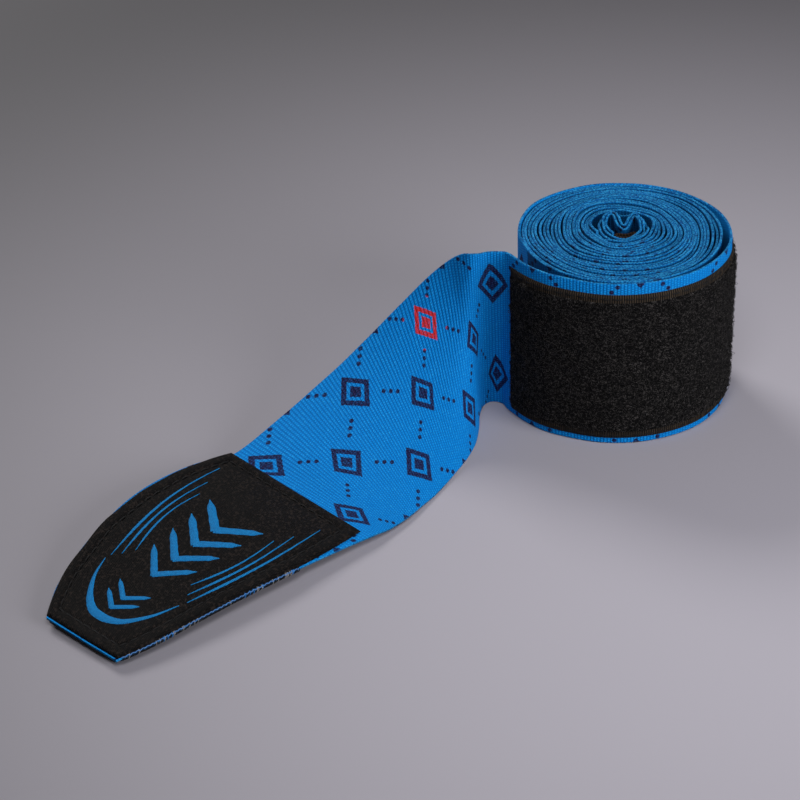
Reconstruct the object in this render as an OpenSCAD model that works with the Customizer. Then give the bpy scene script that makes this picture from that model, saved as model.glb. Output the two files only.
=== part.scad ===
// Hand wrap, rolled up, with the closing end run out and twisted flat.
// Origin: axis of the roll at the surface it stands on. +Z runs up the roll,
// the loose end and its closing tab lie towards -X.

/* [Webbing] */
// Width of the elastic webbing
webbing_width = 50; // [45:1:55]
// Thickness of one layer of webbing
webbing_thickness = 0.82; // [0.7:0.01:0.85]

/* [Roll] */
// Distance from one turn to the next
turn_pitch = 0.9; // [0.88:0.01:0.92]
// Full turns in the tight coil
coil_turns = 21; // [18:1:22]
// Inner radius of the tight coil
core_radius = 7.2; // [6.8:0.1:8]

/* [Loop tape] */
// Length of the loop tape sewn on the outside of the last turn
loop_tape_length = 112; // [60:1:120]
// Width of the loop tape
loop_tape_width = 45; // [40:1:46]
// Bare webbing left above the loop tape
loop_tape_top_gap = 3.2; // [2:0.1:4]
// Thickness of a tape's woven backing
tape_backing = 0.5; // [0.4:0.05:0.6]
// Height of the loop pile above its backing
pile_height = 1; // [0.6:0.1:1.4]
// Plain woven border on each edge of the loop tape
tape_border = 2.2; // [1.5:0.1:3]

/* [Closing tab] */
// Length of the closing tab
tab_length = 77; // [70:1:80]
// Thickness of the woven label
label_thickness = 0.5; // [0.4:0.05:0.7]
// Height of the hooks below their backing
hook_height = 0.9; // [0.6:0.1:1.2]
// Spacing of the rows of hooks
hook_row_pitch = 2.5; // [2:0.1:4]

/* [Stitching] */
// Length of one machine stitch
stitch_length = 2.4; // [1.8:0.1:3]
// Distance from one stitch to the next
stitch_pitch = 3.4; // [3:0.1:4]
// Thickness of the sewing thread
thread = 0.4; // [0.3:0.05:0.5]

/* [Thumb loop] */
// Width of the thumb loop's tape
thumb_tape_width = 10; // [8:1:12]
// Length of the thumb loop as it lies folded in the core
thumb_loop_length = 6; // [5:0.5:6.5]

/* [Hidden] */
$fn = 96;
half_web = webbing_thickness / 2;
spline_steps = 4;

// Direction from the axis at which the loose end leaves the roll
leave_angle = 150;
coil_end_radius = core_radius + coil_turns * turn_pitch + half_web;
// How far the last turn stands off the coil: [degrees travelled clockwise, mm]
stand_off = [[0, 0], [20, 1.1], [42, 2.1], [62, 2.4], [90, 1.7], [120, 1.2], [150, 1.4],
             [180, 2.1], [210, 2.3], [240, 1.5], [270, 0.9], [300, 1.5], [328, 3.2],
             [345, 4.9], [360, 6.5]];
outer_turn_knots = [for (k = stand_off) (coil_end_radius + k[1]) * heading(leave_angle - k[0])];
leave_point = outer_turn_knots[len(outer_turn_knots) - 1];
outer_turn_path = spline(outer_turn_knots, spline_steps);

// The loose end's two edges, knot by knot: bottom [x, y] and top [x, y, z]
tail_bottom = [[-28.6, 16.5], [-27.2, 20.2], [-28.8, 23.2], [-32.4, 23.4], [-37, 20.8],
               [-42, 16.8], [-48.2, 12.8], [-54.6, 10], [-62.2, 7.6], [-71.2, 5.6],
               [-80.6, 4.2], [-89.6, 3.4], [-97, 4]];
tail_top = [[-28.6, 16.5, 50], [-29.6, 19.2, 50], [-31.6, 21.6, 50], [-33.6, 22.8, 50],
            [-35.2, 24.4, 50], [-35.4, 27.4, 48.8], [-35.6, 32, 45.2], [-38, 37, 39.6],
            [-43.8, 42.2, 31.6], [-53.6, 46.6, 23.2], [-66, 49.8, 16.2], [-80, 52, 10.4],
            [-97, 53.8, 5.85]];

// Closing tab: u runs from its back edge to its tip, w from its near edge to its far one.
// Each knot is [distance from the back edge, near edge's y, far edge's y, far edge's lift].
tab_back_x = -98.2;
tab_knots = [[0, 4, 53.8, 4], [13, 6.2, 57, 5.6], [27, 8.2, 58.4, 6.2], [40, 10.2, 57.6, 5.4],
             [54, 12.4, 54.6, 3.4], [67, 14.6, 49.8, 1.4], [77, 17.4, 43, 0.2]];
knots_length = tab_knots[len(tab_knots) - 1][0];
tab_edges = spline(tab_knots, 3);
near_edge_lift = 0.8;
// Heights of the tab's layers above its underside, with a hair's gap between them
layer_gap = 0.04;
tab_web_level = hook_height + tape_backing + layer_gap;
label_level = tab_web_level + webbing_thickness + layer_gap;
label_top_level = label_level + label_thickness;
artwork_level = label_top_level + layer_gap;
artwork_thickness = 0.14;
stitch_inset = 3.2;

function heading(angle) = [cos(angle), sin(angle)];
function reverse(list) = [for (i = [len(list) - 1:-1:0]) list[i]];
function slice(list, first, last) = [for (i = [first:last]) list[i]];

// A smooth curve through every knot
function spline_point(p, s) =
    let (n = len(p) - 1, i = min(floor(s), n - 1), f = s - i)
    let (a = p[max(i - 1, 0)], b = p[i], c = p[i + 1], d = p[min(i + 2, n)])
    (2 * b + (c - a) * f + (2 * a - 5 * b + 4 * c - d) * f * f
     + (3 * b - a - 3 * c + d) * f * f * f) / 2;
function spline(p, steps) = [for (i = [0:(len(p) - 1) * steps]) spline_point(p, i / steps)];

function travel(p, i) = let (d = p[min(i + 1, len(p) - 1)] - p[max(i - 1, 0)]) d / norm(d);
// The path moved sideways, to the left of its direction of travel
function beside(p, distance) =
    [for (i = [0:len(p) - 1]) let (t = travel(p, i)) p[i] + distance * [-t.y, t.x]];
function path_length(p, last) =
    last == 0 ? 0 : norm(p[last] - p[last - 1]) + path_length(p, last - 1);

module ribbon(inner_edge, outer_edge, width) {
    linear_extrude(width) polygon(concat(inner_edge, reverse(outer_edge)));
}

module half_ring(inner_radius) {
    intersection() {
        difference() {
            circle(inner_radius + webbing_thickness);
            circle(inner_radius);
        }
        translate([-coil_end_radius, 0]) square([2 * coil_end_radius, coil_end_radius]);
    }
}

// A spiral made of half rings from two centres, so every turn is a true arc
module webbing_coil() {
    color("royalblue") rotate(leave_angle) mirror([0, 1]) linear_extrude(webbing_width) {
        for (k = [0:coil_turns - 1]) {
            half_ring(core_radius + k * turn_pitch);
            translate([turn_pitch / 2, 0]) mirror([0, 1])
                half_ring(core_radius + (k + 0.5) * turn_pitch);
        }
    }
}

module webbing_outer_turn() {
    last = len(outer_turn_path) - 2;
    inner = slice(beside(outer_turn_path, -half_web), 0, last);
    outer = slice(beside(outer_turn_path, half_web), 0, last);
    color("dodgerblue") ribbon(inner, outer, webbing_width);
}

// The inner end of the webbing, crumpled into two folds in the core
core_fold_knots = [[-5.6, -2.2], [-3.4, -4.8], [0.2, -5.6], [3.6, -4.3], [5.5, -1.4], [5.4, 1.8],
                   [3.3, 4.4], [1, 3.6], [0.6, 1.2], [-0.6, 0.4], [-1.6, 2.2], [-2.2, 4.9],
                   [-4.6, 3.4], [-4.9, 0.8]];

// How far the fold has sunk below the coil's top
core_fold_drop = 1;

module webbing_core_fold() {
    path = spline(core_fold_knots, spline_steps);
    color("deepskyblue") ribbon(beside(path, -half_web), beside(path, half_web), webbing_width - core_fold_drop);
}

// The thumb loop's tape, folded flat and standing in the core
thumb_loop_place = [0.2, -2.3, 38];
thumb_loop_turn = -12;
thumb_loop_depth = 2.6;
thumb_tape_thickness = 0.7;

module racetrack(length, depth) {
    hull() for (side = [-1, 1]) translate([side * (length - depth) / 2, 0]) circle(depth / 2, $fn = 32);
}

module thumb_loop() {
    color("saddlebrown") translate(thumb_loop_place) rotate(thumb_loop_turn) linear_extrude(thumb_tape_width)
        difference() {
            racetrack(thumb_loop_length, thumb_loop_depth);
            racetrack(thumb_loop_length - 2 * thumb_tape_thickness,
                      thumb_loop_depth - 2 * thumb_tape_thickness);
        }
}

// Bar tacks across the thumb loop's tape
module thumb_loop_stitching() {
    tacks = 4;
    first_tack = 2;
    tack_spacing = (thumb_tape_width - 2 * first_tack) / (tacks - 1);
    color("black") translate(thumb_loop_place) rotate(thumb_loop_turn) for (k = [0:tacks - 1])
        translate([-stitch_length / 2, -thumb_loop_depth / 2 - thread, first_tack + k * tack_spacing - thread / 2])
            cube([stitch_length, thread, thread]);
}

// The loop tape ends where the loose end leaves, and runs back round the front
tape_last = len(outer_turn_path) - 3;
tape_first = [for (i = [0:tape_last - 2])
    if (path_length(slice(outer_turn_path, i, tape_last), tape_last - i) > loop_tape_length) i];
tape_start = tape_first[len(tape_first) - 1];
tape_bottom_z = webbing_width - loop_tape_top_gap - loop_tape_width;

module on_last_turn(low, high, bottom_z, width) {
    inner = slice(beside(outer_turn_path, half_web + low), tape_start, tape_last);
    outer = slice(beside(outer_turn_path, half_web + high), tape_start, tape_last);
    translate([0, 0, bottom_z]) ribbon(inner, outer, width);
}

module loop_tape() {
    color("dimgray") on_last_turn(0, tape_backing, tape_bottom_z, loop_tape_width);
}

module loop_pile() {
    color("black") on_last_turn(tape_backing, tape_backing + pile_height,
                                tape_bottom_z + tape_border, loop_tape_width - 2 * tape_border);
}

// Two rows of stitches hold the loop tape along its borders
module loop_tape_stitching() {
    row = slice(beside(outer_turn_path, half_web + tape_backing), tape_start, tape_last);
    row_top = tape_bottom_z + loop_tape_width - tape_border / 2;
    color("gray") for (z = [tape_bottom_z + tape_border / 2, row_top]) for (i = [0:len(row) - 2]) {
        step = row[i + 1] - row[i];
        side = thread / 2 * [-step.y, step.x] / norm(step);
        translate([row[i].x + side.x, row[i].y + side.y, z]) rotate(atan2(step.y, step.x))
            translate([norm(step) * 0.15, -thread / 2, -thread / 2])
                cube([norm(step) * 0.7, thread, thread]);
    }
}

// One slice across the twisting loose end: a bent strip of four-point cells
tail_cells = 3;
function tail_ring(b, t, along) =
    let (up = (t - b) / norm(t - b))
    let (n = cross(along, up) / norm(cross(along, up)))
    concat([for (k = [0:tail_cells]) b + (t - b) * k / tail_cells + n * half_web],
           [for (k = [tail_cells:-1:0]) b + (t - b) * k / tail_cells - n * half_web]);

module webbing_tail() {
    flat_edge = spline(tail_bottom, spline_steps);
    top_path = spline(tail_top, spline_steps);
    last = len(top_path) - 1;
    // The lower edge's height keeps the tilted strip's lowest corner on the surface,
    // and lifts over the end of the hook tape
    bottom_path = [for (i = [0:last])
        let (lean = norm([top_path[i].x, top_path[i].y] - flat_edge[i]) / webbing_width)
        [flat_edge[i].x, flat_edge[i].y,
         half_web * lean + tab_web_level * pow(max(0, (i - last + 8) / 8), 2)]];
    rings = [for (i = [1:last])
        tail_ring(bottom_path[i], top_path[i],
                  travel(bottom_path, i) + travel(top_path, i))];
    sides = len(rings[0]);
    points = [for (ring = rings) each ring];
    walls = [for (i = [0:len(rings) - 2]) for (k = [0:sides - 1]) for (half = [0, 1])
        let (a = i * sides + k, b = i * sides + (k + 1) % sides)
        half == 0 ? [a, a + sides, b] : [b, a + sides, b + sides]];
    cap = [for (k = [0:sides - 1]) k];
    end_cap = [for (k = [sides - 1:-1:0]) (len(rings) - 1) * sides + k];
    color("royalblue") polyhedron(points, concat([cap], walls, [end_cap]), convexity = 6);
}

// The tab's near edge, far edge and far edge's lift at a distance u from its back edge
function tab_at(u) =
    let (s = lookup(u * knots_length / tab_length, [for (i = [0:len(tab_edges) - 1]) [tab_edges[i][0], i]]))
    let (i = min(floor(s), len(tab_edges) - 2))
    tab_edges[i] + (s - i) * (tab_edges[i + 1] - tab_edges[i]);

// A point of the tab's underside, at u along it and y across it, raised by a height
function on_tab(u, y, height) =
    let (e = tab_at(u), w = (y - e[1]) / (e[2] - e[1]))
    let (near = near_edge_lift * sin(180 * min(1, u / tab_length)))
    [tab_back_x - u, y, height + near * (1 - w) + e[3] * w];

// A closed layer between two heights over the tab, from rows of [u, first y, last y]
module tab_layer(rows, low, high, cells) {
    n = cells + 1;
    low_points = [for (r = rows) for (k = [0:cells]) on_tab(r[0], r[1] + (r[2] - r[1]) * k / cells, low)];
    high_points = [for (r = rows) for (k = [0:cells]) on_tab(r[0], r[1] + (r[2] - r[1]) * k / cells, high)];
    closed_layer(low_points, high_points, len(rows), n);
}

// Joins a lower and an upper grid of points into one closed solid
module closed_layer(low_points, high_points, rows, n) {
    top = rows * n;
    rim = concat([for (k = [0:n - 1]) k],
                 [for (i = [1:rows - 1]) i * n + n - 1],
                 [for (k = [n - 2:-1:0]) (rows - 1) * n + k],
                 [for (i = [rows - 2:-1:1]) i * n]);
    cells = [for (i = [0:rows - 2]) for (k = [0:n - 2]) i * n + k];
    faces = concat([for (a = cells) [a, a + 1, a + n + 1]],
                   [for (a = cells) [a, a + n + 1, a + n]],
                   [for (a = cells) [top + a, top + a + n + 1, top + a + 1]],
                   [for (a = cells) [top + a, top + a + n, top + a + n + 1]],
                   [for (k = [0:len(rim) - 1])
                       let (a = rim[k], b = rim[(k + 1) % len(rim)]) [a, top + a, top + b]],
                   [for (k = [0:len(rim) - 1])
                       let (a = rim[k], b = rim[(k + 1) % len(rim)]) [a, top + b, b]]);
    polyhedron(concat(low_points, high_points), faces, convexity = 6);
}

// Rows across the tab from u_first to u_last, moved in from its near and far edges
function tab_rows(u_first, u_last, count, near_inset, far_inset) =
    [for (k = [0:count]) let (u = u_first + (u_last - u_first) * k / count, e = tab_at(u))
        [u, e[1] + near_inset, e[2] - far_inset]];

module webbing_tab() {
    color("royalblue") tab_layer(tab_rows(0, tab_length, 18, 0, 0), tab_web_level,
                                 tab_web_level + webbing_thickness, 5);
}

// The label's near edge starts well inside the webbing and closes on it
label_start_inset = 2.6;
label_closes_at = 26;
label_rows = [for (r = tab_rows(1.5, tab_length - 1, 18, 0.7, 0.6))
    [r[0], r[1] + label_start_inset * pow(max(0, 1 - r[0] / label_closes_at), 2), r[2]]];

module woven_label() {
    color("#181818") tab_layer(label_rows, label_level, label_top_level, 5);
}

module hook_tape() {
    color("#303030") tab_layer(tab_rows(6, tab_length, 16, 1.2, 1), hook_height,
                               hook_height + tape_backing, 5);
}

// Rows of hooks on a thin common sheet, on the underside, as one comb
module hook_field() {
    hook_sheet = 0.25;
    row_width = 1.2;
    first_u = 9;
    row_count = floor((tab_length - 2 - first_u) / hook_row_pitch);
    profile = [for (k = [0:row_count - 1]) for (p = [[0, 1], [0.05, 0], [row_width, 0], [row_width + 0.05, 1]])
        [first_u + k * hook_row_pitch + p[0], p[1]]];
    rows = [for (p = profile) let (e = tab_at(p[0])) [p[0], e[1] + 2.4, e[2] - 2.2]];
    sheet_low = hook_height - layer_gap - hook_sheet;
    low = [for (i = [0:len(rows) - 1]) for (k = [0:3])
        on_tab(rows[i][0], rows[i][1] + (rows[i][2] - rows[i][1]) * k / 3, profile[i][1] * sheet_low)];
    high = [for (r = rows) for (k = [0:3])
        on_tab(r[0], r[1] + (r[2] - r[1]) * k / 3, hook_height - layer_gap)];
    color("black") closed_layer(low, high, len(rows), 4);
}

// A narrow raised band over the tab from one [u, y] to another, tapering in width
module band(from, to, width_from, width_to, low, high, steps) {
    way = (to - from) / norm(to - from);
    side = [-way.y, way.x] / 2;
    centre = [for (k = [0:steps]) from + (to - from) * k / steps];
    half = [for (k = [0:steps]) side * (width_from + (width_to - width_from) * k / steps)];
    points = [for (h = [low, high]) [for (k = [0:steps]) for (s = [1, -1])
        on_tab(centre[k].x + s * half[k].x, centre[k].y + s * half[k].y, h)]];
    closed_layer(points[0], points[1], steps + 1, 2);
}

label_mid_y = 31;

// A plain band pattern in the label's weave, given from its middle line
module woven_line(from, to, width_from, width_to) {
    band([from.x, label_mid_y + from.y], [to.x, label_mid_y + to.y], width_from, width_to,
         artwork_level, artwork_level + artwork_thickness, 6);
}

// Three converging lines along each side, a bracket by the tip, chevrons and bars between
module label_artwork() {
    color("deepskyblue") {
        for (side = [-1, 1]) for (k = [0:2])
            woven_line([10 + 4 * k, side * (18.4 - 2.6 * k)], [50 + 2 * k, side * (13.6 - 1.5 * k)], 0.5, 1.1);
        for (side = [-1, 1]) {
            woven_line([57, side * 10.5], [67.6, side * 3.6], 0.5, 2.2);
            for (k = [0:1]) woven_line([56.5 + 4 * k, side * 6], [60.5 + 4 * k, side * 0.8], 0.8, 1.6);
            for (k = [0:3]) woven_line([24 + 6.5 * k, side * 8.5], [29.5 + 6.5 * k, side * 1], 1, 3);
        }
    }
}

// One machine stitch lying on the tab's top, centred at [u, y] and turned to a heading
module tab_stitch(u, y, turn) {
    reach = stitch_length / 2 * heading(turn);
    band([u, y] - reach, [u, y] + reach, thread, thread, artwork_level, artwork_level + thread, 1);
}

function turn_between(a, b) = atan2(b.y - a.y, b.x - a.x);

module label_stitching() {
    near = [for (r = label_rows) [r[0], r[1] + stitch_inset]];
    far = [for (r = label_rows) [r[0], r[2] - stitch_inset]];
    side_count = floor((tab_length - 14) / stitch_pitch);
    color("black") {
        for (line = [near, far]) for (k = [0:side_count - 1]) {
            u = 8.5 + k * stitch_pitch;
            y = lookup(u, line);
            tab_stitch(u, y, turn_between([u - 1, lookup(u - 1, line)], [u + 1, lookup(u + 1, line)]));
        }
        for (u = [4.6, tab_length - 3.6]) {
            width = lookup(u, far) - lookup(u, near);
            count = floor(width / stitch_pitch);
            for (k = [0:count - 1])
                tab_stitch(u, lookup(u, near) + (k + 0.5) * width / count, 90);
        }
    }
}

// Thread wrapped over the cut edges on the tab's near side
module tab_overlock() {
    wrap_pitch = 1.5;
    wrap_width = 0.7;
    first_u = 26;
    wraps = floor((tab_length - 2 - first_u) / wrap_pitch);
    color("white") for (k = [0:wraps - 1]) {
        u = first_u + k * wrap_pitch;
        edge = tab_at(u)[1];
        band([u, edge - 0.1 - thread], [u, edge - 0.1], wrap_width, wrap_width,
             tab_web_level, label_top_level, 1);
    }
}

webbing_coil();
webbing_outer_turn();
webbing_core_fold();
thumb_loop();
thumb_loop_stitching();
loop_tape();
loop_pile();
loop_tape_stitching();
webbing_tail();
webbing_tab();
woven_label();
label_artwork();
label_stitching();
hook_tape();
hook_field();
tab_overlock();
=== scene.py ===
"""A rolled hand wrap of elastic webbing, with its closing tab run out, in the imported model's frame.

Lengths are in millimetres until a mesh is made; the frame is in metres.
"""

import math

import bpy
import numpy as np
from mathutils import Euler, Matrix, Vector


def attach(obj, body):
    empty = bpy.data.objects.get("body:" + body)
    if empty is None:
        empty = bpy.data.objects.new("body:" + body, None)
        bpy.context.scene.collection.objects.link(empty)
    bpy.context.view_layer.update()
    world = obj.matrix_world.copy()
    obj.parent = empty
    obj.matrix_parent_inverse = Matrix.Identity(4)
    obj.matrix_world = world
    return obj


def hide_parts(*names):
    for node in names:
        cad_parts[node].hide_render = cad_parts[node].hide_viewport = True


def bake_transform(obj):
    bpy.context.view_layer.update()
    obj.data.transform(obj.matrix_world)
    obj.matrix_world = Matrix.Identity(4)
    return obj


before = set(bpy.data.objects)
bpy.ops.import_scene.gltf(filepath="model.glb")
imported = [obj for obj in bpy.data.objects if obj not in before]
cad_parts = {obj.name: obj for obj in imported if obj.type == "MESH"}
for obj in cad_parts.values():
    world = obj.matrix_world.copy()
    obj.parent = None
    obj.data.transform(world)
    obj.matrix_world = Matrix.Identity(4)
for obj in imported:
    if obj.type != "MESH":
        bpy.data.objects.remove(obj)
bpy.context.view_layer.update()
MM = 0.001
rng = np.random.default_rng(7)
scene = bpy.context.scene
scene.view_settings.view_transform = "Standard"


# -------- camera, stage and light
def make_camera():
    data = bpy.data.cameras.new("camera")
    data.lens, data.sensor_width, data.clip_start, data.clip_end = 108, 36, 0.02, 20
    data.dof.use_dof = False
    camera = bpy.data.objects.new("camera", data)
    turn = Euler((math.radians(56.78), 0, math.radians(-46.9)), "XYZ").to_matrix()
    roll = Matrix.Rotation(math.radians(-2.01), 3, "Z")
    camera.matrix_world = (
        Matrix.Translation((-0.4558, -0.3416, 0.3690)) @ (turn @ roll).to_4x4()
    )
    scene.collection.objects.link(camera)
    scene.camera = camera


def area_light(name, place, target, size, watts, colour):
    data = bpy.data.lights.new(name, "AREA")
    data.shape, data.size, data.energy, data.color = "DISK", size, watts, colour
    lamp = bpy.data.objects.new(name, data)
    lamp.location = place
    aim = Vector(place) - Vector(target)
    lamp.rotation_euler = aim.to_track_quat("Z", "Y").to_euler()
    scene.collection.objects.link(lamp)


make_camera()
area_light("key", (0.30, 1.10, 0.86), (-0.06, 0.01, 0.0), 0.58, 13.5, (1.0, 0.99, 0.975))
area_light("pool", (-0.26, -0.20, 0.52), (-0.06, -0.02, 0.0), 0.30, 1.8, (0.985, 0.985, 1.0))
area_light("front", (0.02, -0.66, 0.28), (-0.02, 0.0, 0.03), 0.4, 4.5, (0.97, 0.975, 1.0))
world = bpy.data.worlds.new("world")
world.use_nodes = True
world.node_tree.nodes["Background"].inputs["Color"].default_value = (0.60, 0.585, 0.65, 1)
world.node_tree.nodes["Background"].inputs["Strength"].default_value = 0.11
scene.world = world


# -------- shader sums
class Field:
    """A number inside a shader, so that a pattern is written as a sum."""

    def __init__(self, tree, socket):
        self.tree, self.socket = tree, socket

    def do(self, operation, *others):
        node = self.tree.nodes.new("ShaderNodeMath")
        node.operation = operation
        for socket, value in zip(node.inputs, (self, *others)):
            if isinstance(value, Field):
                self.tree.links.new(value.socket, socket)
            else:
                socket.default_value = value
        return Field(self.tree, node.outputs[0])

    def __add__(self, o):
        return self.do("ADD", o)

    def __sub__(self, o):
        return self.do("SUBTRACT", o)

    def __mul__(self, o):
        return self.do("MULTIPLY", o)

    __radd__, __rmul__ = __add__, __mul__

    def __rsub__(self, o):
        return self * -1.0 + o

    def __abs__(self):
        return self.do("ABSOLUTE")

    def sin(self):
        return self.do("SINE")

    def lowest(self, o):
        return self.do("MINIMUM", o)

    def highest(self, o):
        return self.do("MAXIMUM", o)

    def wrapped(self, period):
        """The distance from the nearest multiple of a period, signed."""
        return (self + period / 2).do("FLOORED_MODULO", period) - period / 2

    def ramp(self, start, end):
        """0 up to start and 1 from end, smoothly; end may be the lower of the two."""
        node = self.tree.nodes.new("ShaderNodeMapRange")
        node.interpolation_type = "SMOOTHSTEP"
        self.tree.links.new(self.socket, node.inputs["Value"])
        falling = float(start > end)
        values = (min(start, end), max(start, end), falling, 1 - falling)
        for key, value in zip(("From Min", "From Max", "To Min", "To Max"), values):
            node.inputs[key].default_value = value
        return Field(self.tree, node.outputs["Result"])


class Cloth:
    """A material read in cloth coordinates: s along the piece, a across it, and which face."""

    def __init__(self, name, roughness, specular):
        self.material = bpy.data.materials.new(name)
        self.material.use_nodes = True
        self.tree = self.material.node_tree
        self.shader = self.tree.nodes["Principled BSDF"]
        self.shader.inputs["Roughness"].default_value = roughness
        self.shader.inputs["Specular IOR Level"].default_value = specular
        self.where, (self.s, self.a, self.face) = self.read("cloth")

    def read(self, name):
        """A mesh attribute's vector, whole and as three numbers."""
        where = self.tree.nodes.new("ShaderNodeAttribute")
        where.attribute_name = name
        split = self.tree.nodes.new("ShaderNodeSeparateXYZ")
        self.tree.links.new(where.outputs["Vector"], split.inputs[0])
        return where.outputs["Vector"], [Field(self.tree, o) for o in split.outputs]

    def noise(self, scale, detail=2.0, stretch=None):
        """Noise over the cloth, centred on 0.5, with about scale features per unit."""
        vector = self.where
        if stretch:
            node = self.tree.nodes.new("ShaderNodeVectorMath")
            node.operation = "MULTIPLY"
            self.tree.links.new(vector, node.inputs[0])
            node.inputs[1].default_value = stretch
            vector = node.outputs[0]
        node = self.tree.nodes.new("ShaderNodeTexNoise")
        node.inputs["Scale"].default_value = scale
        node.inputs["Detail"].default_value = detail
        self.tree.links.new(vector, node.inputs["Vector"])
        return Field(self.tree, node.outputs[0])

    def mix(self, share, first, second):
        node = self.tree.nodes.new("ShaderNodeMix")
        node.data_type = "RGBA"
        for value, socket in ((share, node.inputs[0]), (first, node.inputs[6]), (second, node.inputs[7])):
            if isinstance(value, Field):
                self.tree.links.new(value.socket, socket)
            elif isinstance(value, tuple):
                socket.default_value = (*value, 1)
            else:
                self.tree.links.new(value, socket)
        return node.outputs[2]

    def finish(self, colour, height, depth, roughness=None):
        """Sets the colour, the height that the bump comes from and its depth in mm."""
        self.tree.links.new(colour, self.shader.inputs["Base Color"])
        bump = self.tree.nodes.new("ShaderNodeBump")
        bump.inputs["Strength"].default_value = 1.0
        bump.inputs["Distance"].default_value = depth * MM
        self.tree.links.new(height.socket, bump.inputs["Height"])
        self.tree.links.new(bump.outputs[0], self.shader.inputs["Normal"])
        if roughness is not None:
            self.tree.links.new(roughness.socket, self.shader.inputs["Roughness"])
        return self.material


TAU = 2 * math.pi
RIB_PITCH = 0.9
ROW = 15.0  # between one row of printed marks and the next, along and across the webbing
LINK = ROW * math.sqrt(2)  # from one mark to the next, along the dots
FIRST_ROW = 10.0  # the first row's distance from the webbing's lower edge
RED_S, RED_A = 2 * ROW, FIRST_ROW + 2 * ROW  # the one mark that is printed in red


def webbing_material():
    """Ribbed blue webbing, printed on its outer face; its edges are darker. Painted highlights lie on the
    ribs' raised dashes, and painted shade darkens the rolled-up turns below their tops and on their walls,
    where the gaps between turns lie in shade.
    """
    c = Cloth("printed_webbing", 0.8, specular=0.07)
    s, a = c.s, c.a
    drift = (c.noise(0.35, 1.0) - 0.5) * 0.5
    rib = (s + drift * 0.5).wrapped(RIB_PITCH)
    ridge = abs(rib).ramp(RIB_PITCH * 0.5, RIB_PITCH * 0.12)
    row = (s * (1 / RIB_PITCH)).do("ROUND")
    pick = ((a + row * 0.31) * (TAU / 0.72)).sin() * 0.5 + 0.5
    grain = c.noise(2.2, 2.0, (1.0, 0.8, 1.0))
    height = ridge * (pick * 0.45 + 0.55) + grain * 0.35
    # painted highlight: the ribs' raised dashes, with some random grain, are coloured lighter as if
    # catching light; the navy ink follows the same share
    light = (ridge * pick * 0.9 + grain * 0.5 - 0.25).ramp(0.0, 1.0)
    patch = c.noise(0.06, 3.0)
    base = c.mix(light, (0.0008, 0.132, 0.43), (0.0012, 0.245, 0.66))
    base = c.mix(patch.ramp(0.35, 0.7) * 0.35, base, (0.0012, 0.15, 0.46))
    # painted highlights: pale glints scattered along the rib ridges
    painted_rib_glints = c.noise(2.6, 1.0, (1.0, 1.9, 1.0)).ramp(0.60, 0.70) * ridge
    base = c.mix(painted_rib_glints * 0.6, base, (0.03, 0.42, 0.82))
    rim = abs(c.face).ramp(0.85, 0.3)
    yarn_end = c.noise(1.9, 2.0, (1.0, 0.3, 1.0))
    stretch = c.noise(0.07, 2.0, (1.0, 0.0, 0.0)).ramp(0.35, 0.65)
    dark_end = c.mix(stretch, (0.001, 0.034, 0.115), (0.0012, 0.07, 0.25))
    pale_end = c.mix(stretch, (0.012, 0.175, 0.36), (0.028, 0.27, 0.52))
    base = c.mix(rim * 0.9, base, c.mix(yarn_end.ramp(0.40, 0.60), dark_end, pale_end))
    # the marks stand on a square lattice at 45 degrees to the webbing
    half = math.sqrt(0.5)
    ps, pa, rolled_up = c.read("print")[1]
    x, y = (ps + pa - FIRST_ROW) * half, (pa - FIRST_ROW - ps) * half
    px, py = x.wrapped(LINK), y.wrapped(LINK)
    ragged = (c.noise(1.8, 1.0) - 0.5) * 0.7
    mark = lozenges(px, py, ragged)
    dots = dot_row(px, py).lowest(dot_row(py, px))
    ink = mark.ramp(0.28, -0.12).highest((dots + ragged * 0.35).ramp(0.16, -0.12))
    outer = c.face.ramp(-0.2, 0.3)
    worn = c.noise(2.6).ramp(0.78, 0.42) * 0.3 + 0.7
    ink = ink * outer * worn * (1.0 - rim * 0.55)
    red = ((ps - RED_S) * (ps - RED_S) + (pa - RED_A) * (pa - RED_A)).ramp(72.0, 60.0)
    navy = c.mix(light, (0.006, 0.006, 0.030), (0.020, 0.016, 0.075))
    base = c.mix(ink, base, c.mix(red, navy, (0.50, 0.018, 0.014)))
    # painted shade: on the rolled-up turns, a near-black blue below the top few mm and on the walls stands
    # in for the shade in the gaps between turns
    painted_gap_shade = a.ramp(49.0, 45.5).highest(abs(c.face).ramp(0.35, 1.05) * 0.8)
    base = c.mix(rolled_up * painted_gap_shade * 0.92, base, (0.0, 0.006, 0.022))
    through = mark.ramp(0.5, -0.3) * c.face.ramp(0.2, -0.4) * 0.22
    base = c.mix(through, base, (0.004, 0.05, 0.24))
    return c.finish(base, height, 0.13, grain * 0.15 + 0.70)


def lozenges(px, py, ragged):
    """Below 0 inside a plain printed mark: a lozenge frame round a smaller lozenge."""
    corner_to_corner = abs((px + py) * math.sqrt(0.5)) * 0.86 + abs((px - py) * math.sqrt(0.5)) * 1.12
    ring = abs(corner_to_corner - 4.6) - 0.95
    return ring.lowest(corner_to_corner - 2.1) + ragged


def dot_row(along, across):
    """Below 0 inside the round dots between two marks."""
    step = 2.2
    gap = LINK / 2 - abs(along)  # from the middle of the link
    near = (gap + step / 2).do("FLOORED_MODULO", step) - step / 2
    dot = (near * near + across * across).do("SQRT") - 0.62
    return dot.highest(gap - 1.6 * step)


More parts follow.
